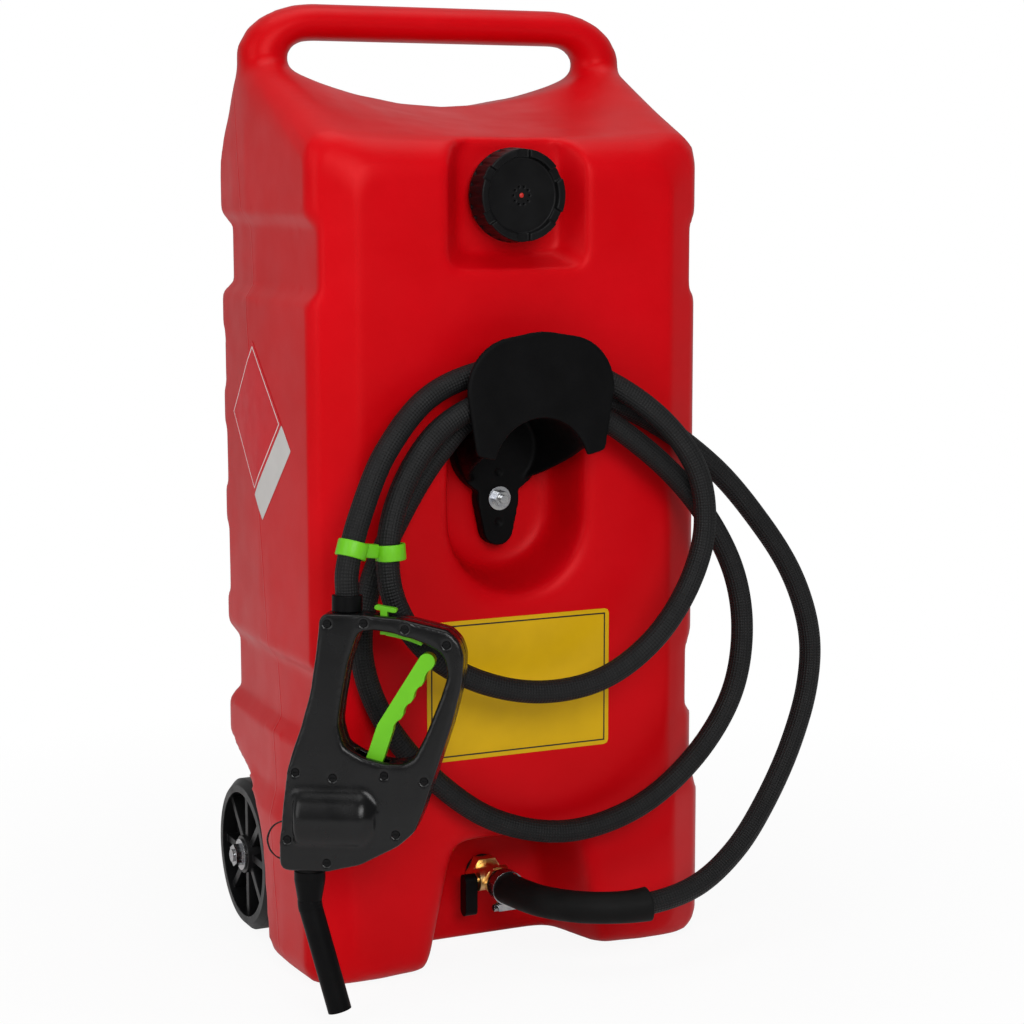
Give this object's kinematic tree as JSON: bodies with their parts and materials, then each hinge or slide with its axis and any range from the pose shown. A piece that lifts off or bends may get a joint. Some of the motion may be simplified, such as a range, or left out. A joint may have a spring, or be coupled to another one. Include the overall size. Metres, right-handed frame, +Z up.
{
  "type": "fuel caddy",
  "caption": "Upright red wheeled tank with a moulded pull handle, filler cap, hose looped over a hook, shut-off valve and squeeze pump with a spout.",
  "frame": {"origin": "on the flat underside of the tank, in its middle plane and halfway through its depth, at floor level", "axes": "+Z up, -Y out of the front panel, +X to the right as seen by someone facing the front"},
  "size_m": [0.5662, 0.4103, 0.8789],
  "materials": {
    "red_polyethylene": "blow-moulded red polyethylene with a fine grain",
    "black_plastic": "black moulded plastic",
    "wheel_plastic": "black moulded wheel",
    "black_rubber": "black rubber",
    "sleeve_rubber": "black guard sleeve",
    "hose_rubber": "dark grey ribbed hose cover",
    "green_plastic": "lime green moulded plastic",
    "brass": "machined brass",
    "zinc_steel": "bright zinc-plated steel",
    "dark_screw": "dark plated screws"
  },
  "bodies": {
    "caddy": {"tank": "red_polyethylene", "axle": "zinc_steel", "wheel_spacers": "zinc_steel", "wheel_washers": "zinc_steel", "axle_nuts": "zinc_steel", "hook": "black_plastic", "hook_stud": "zinc_steel", "hook_washer": "zinc_steel", "hook_nut": "zinc_steel", "outlet_gasket": "black_rubber", "outlet_valve": "brass", "hose_barb": "brass", "hose_clamp": "zinc_steel", "hose_sleeve": "sleeve_rubber", "hose": "hose_rubber", "hose_clip": "green_plastic", "pump_front_shell": "black_plastic", "pump_rear_shell": "black_plastic", "pump_screws": "dark_screw", "hose_ferrule": "black_plastic", "grip_tube": "black_rubber", "pump_cylinder": "brass", "return_spring": "zinc_steel", "inlet_valve": "zinc_steel", "delivery_valve": "zinc_steel", "lever_pin": "zinc_steel", "latch_pin": "zinc_steel", "spout_seal": "black_rubber", "spout": "black_plastic"},
    "cap_liner": {"filler_liner": "black_rubber"},
    "filler_cap": {"filler_cap": "black_plastic"},
    "wheel_left": {"wheel_left": "wheel_plastic"},
    "wheel_right": {"wheel_right": "wheel_plastic"},
    "valve": {"valve_plug": "zinc_steel", "valve_lever": "black_plastic"},
    "lever": {"lever": "green_plastic"},
    "piston": {"piston": "black_plastic", "piston_ring": "black_rubber"},
    "latch": {"lock_latch": "green_plastic"}
  },
  "joints": [
    {"name": "cap_lift", "type": "slide", "parent": "caddy", "child": "cap_liner", "axis": [0, -1, 0], "range_m": [0, 0.015]},
    {"name": "cap_turn", "type": "hinge", "parent": "cap_liner", "child": "filler_cap", "pos_m": [0, -0.12, 0.705], "axis": [0, -1, 0], "range_deg": [0, 900]},
    {"name": "wheel_left_spin", "type": "hinge", "parent": "caddy", "child": "wheel_left", "pos_m": [-0.177, 0.076, 0.073], "axis": [1, 0, 0], "continuous": true},
    {"name": "wheel_right_spin", "type": "hinge", "parent": "caddy", "child": "wheel_right", "pos_m": [0.177, 0.076, 0.073], "axis": [1, 0, 0], "continuous": true},
    {"name": "valve_turn", "type": "hinge", "parent": "caddy", "child": "valve", "pos_m": [0, -0.0742, 0.066], "axis": [-1, 0, 0], "range_deg": [0, 90]},
    {"name": "lever_squeeze", "type": "hinge", "parent": "caddy", "child": "lever", "pos_m": [-0.17907, -0.20687, 0.21039], "axis": [-0.5138, -0.8551, 0.0698], "range_deg": [0, 22], "stiffness_Nm_per_rad": 1.5, "springref_deg": -2.86},
    {"name": "piston_stroke", "type": "slide", "parent": "caddy", "child": "piston", "axis": [0.8572, -0.515, 0], "range_m": [0, 0.0106], "deforming": ["return_spring"]},
    {"name": "latch_turn", "type": "hinge", "parent": "caddy", "child": "latch", "pos_m": [-0.16043, -0.20692, 0.34706], "axis": [-0.5138, -0.8551, 0.0698], "range_deg": [-7, 0]}
  ],
  "couplings": [
    {"joint": "cap_lift", "follows": "cap_turn", "m_per_rad": 0.00095493},
    {"joint": "piston_stroke", "follows": "lever_squeeze", "m_per_rad": 0.027282}
  ]
}
